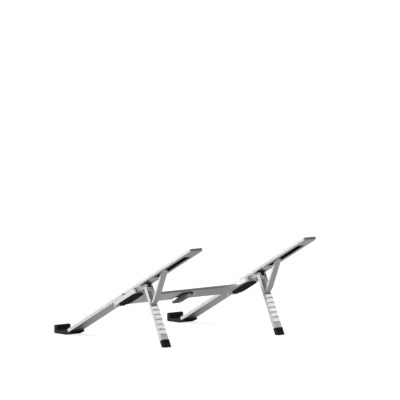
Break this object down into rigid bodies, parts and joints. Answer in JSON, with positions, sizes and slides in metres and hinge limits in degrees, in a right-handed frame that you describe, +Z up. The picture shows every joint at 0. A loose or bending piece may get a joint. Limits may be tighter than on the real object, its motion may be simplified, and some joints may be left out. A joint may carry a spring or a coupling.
{
  "type": "laptop stand",
  "caption": "Folding laptop stand with sloping side arms on a crossbar, rubber front hooks, and notched legs propped by struts.",
  "frame": {"origin": "on the desk, under the middle of the stand's bounding box", "axes": "+X to the user's right, +Y from the user towards the back (the arms rise this way), +Z up"},
  "size_m": [0.1718, 0.2268, 0.1071],
  "materials": {
    "satin_aluminium": "fine satin, bead blasted and anodised",
    "steel": "plain turned steel",
    "dark_steel": "dark plated steel",
    "rubber": "matte moulded rubber",
    "rubber_pad": "smooth silicone",
    "black_plastic": "matte",
    "dark_plastic": "fine matte"
  },
  "bodies": {
    "frame": {"crossbar": "satin_aluminium", "centre_insert": "black_plastic", "tab_pivot": "steel", "hub_left": "satin_aluminium", "hub_pad_left": "rubber_pad", "crossbar_screws_left": "dark_steel", "hub_screws_left": "dark_steel", "rear_arm_left": "satin_aluminium", "rear_pad_left": "rubber_pad", "slot_lining_left": "black_plastic", "leg_block_left": "black_plastic", "leg_pin_left": "steel", "strut_pin_left": "steel", "hub_right": "satin_aluminium", "hub_pad_right": "rubber_pad", "crossbar_screws_right": "dark_steel", "hub_screws_right": "dark_steel", "rear_arm_right": "satin_aluminium", "rear_pad_right": "rubber_pad", "slot_lining_right": "black_plastic", "leg_block_right": "black_plastic", "leg_pin_right": "steel", "strut_pin_right": "steel"},
    "front_arm_left": {"front_arm_left": "satin_aluminium", "front_pad_left": "rubber_pad", "hook_core_left": "steel", "hook_rivets_left": "steel", "front_hook_left": "rubber", "hinge_pin_left": "steel"},
    "leg_left": {"leg_left": "satin_aluminium", "leg_foot_left": "rubber"},
    "strut_left": {"strut_left": "satin_aluminium"},
    "front_arm_right": {"front_arm_right": "satin_aluminium", "front_pad_right": "rubber_pad", "hook_core_right": "steel", "hook_rivets_right": "steel", "front_hook_right": "rubber", "hinge_pin_right": "steel"},
    "leg_right": {"leg_right": "satin_aluminium", "leg_foot_right": "rubber"},
    "strut_right": {"strut_right": "satin_aluminium"},
    "centre_tab": {"centre_tab": "dark_plastic", "tab_rivets": "steel"}
  },
  "joints": [
    {"name": "leg_fold_left", "type": "hinge", "parent": "frame", "child": "leg_left", "pos_m": [-0.0765, 0.03291, 0.06198], "axis": [1, 0, 0], "range_deg": [0, 90]},
    {"name": "front_fold_left", "type": "hinge", "parent": "frame", "child": "front_arm_left", "pos_m": [-0.0765, -0.01444, 0.03794], "axis": [1, 0, 0], "range_deg": [0, 175]},
    {"name": "strut_fold_left", "type": "hinge", "parent": "frame", "child": "strut_left", "pos_m": [-0.0765, 0.06043, 0.07964], "axis": [1, 0, 0], "range_deg": [0, 141]},
    {"name": "leg_fold_right", "type": "hinge", "parent": "frame", "child": "leg_right", "pos_m": [0.0765, 0.03291, 0.06198], "axis": [1, 0, 0], "range_deg": [0, 90]},
    {"name": "front_fold_right", "type": "hinge", "parent": "frame", "child": "front_arm_right", "pos_m": [0.0765, -0.01444, 0.03794], "axis": [1, 0, 0], "range_deg": [0, 175]},
    {"name": "strut_fold_right", "type": "hinge", "parent": "frame", "child": "strut_right", "pos_m": [0.0765, 0.06043, 0.07964], "axis": [1, 0, 0], "range_deg": [0, 141]},
    {"name": "tab_swivel", "type": "hinge", "parent": "frame", "child": "centre_tab", "pos_m": [0, 0.00526, 0.04581], "axis": [0, -0.4443, 0.8959], "range_deg": [-9, 9]}
  ],
  "couplings": [
    {"joint": "front_fold_left", "follows": "leg_fold_left", "ratio": 1.9444},
    {"joint": "strut_fold_left", "follows": "leg_fold_left", "ratio": 1.5667},
    {"joint": "front_fold_right", "follows": "leg_fold_right", "ratio": 1.9444},
    {"joint": "strut_fold_right", "follows": "leg_fold_right", "ratio": 1.5667}
  ]
}
